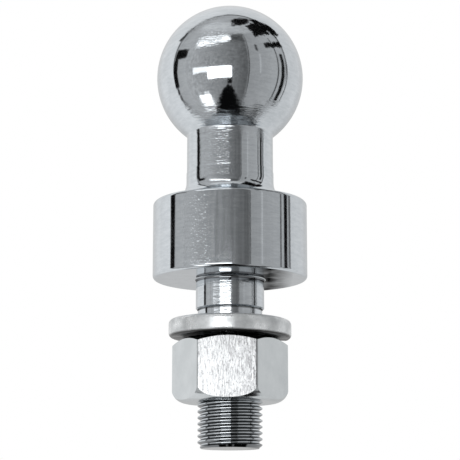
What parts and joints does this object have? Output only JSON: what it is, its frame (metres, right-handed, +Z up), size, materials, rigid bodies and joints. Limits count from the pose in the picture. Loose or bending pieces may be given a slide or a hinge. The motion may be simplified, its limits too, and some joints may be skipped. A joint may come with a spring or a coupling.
{
  "type": "trailer hitch ball",
  "caption": "Chromed towing ball on a tall riser collar, with a short plain shank, a threaded end, a split spring washer and a hexagon nut.",
  "frame": {"origin": "on the stud's axis, in the plane of the collar's underside, which seats on a drawbar", "axes": "+Z up along the stud's axis towards the ball; -Y is the front, which one flat of the nut faces within 3 degrees"},
  "size_m": [0.0518, 0.0518, 0.151],
  "materials": {
    "polished_chrome": "polished chrome plate over a turned surface",
    "zinc_plated_washer": "satin bright zinc plate",
    "zinc_plated_nut": "bright zinc plate with drawn streaks on the flats"
  },
  "bodies": {
    "stud": {"ball_stud": "polished_chrome"},
    "washer": {"lock_washer": "zinc_plated_washer"},
    "nut": {"hex_nut": "zinc_plated_nut"}
  },
  "joints": [
    {"name": "washer_slide", "type": "slide", "parent": "stud", "child": "washer", "axis": [0, 0, 1], "range_m": [-0.0401, 0.00261]},
    {"name": "nut_turn", "type": "hinge", "parent": "washer", "child": "nut", "pos_m": [0, 0, -0.0306], "axis": [0, 0, 1], "range_deg": [-7200, 468]}
  ],
  "couplings": [
    {"joint": "washer_slide", "follows": "nut_turn", "m_per_rad": 0.00031831}
  ]
}
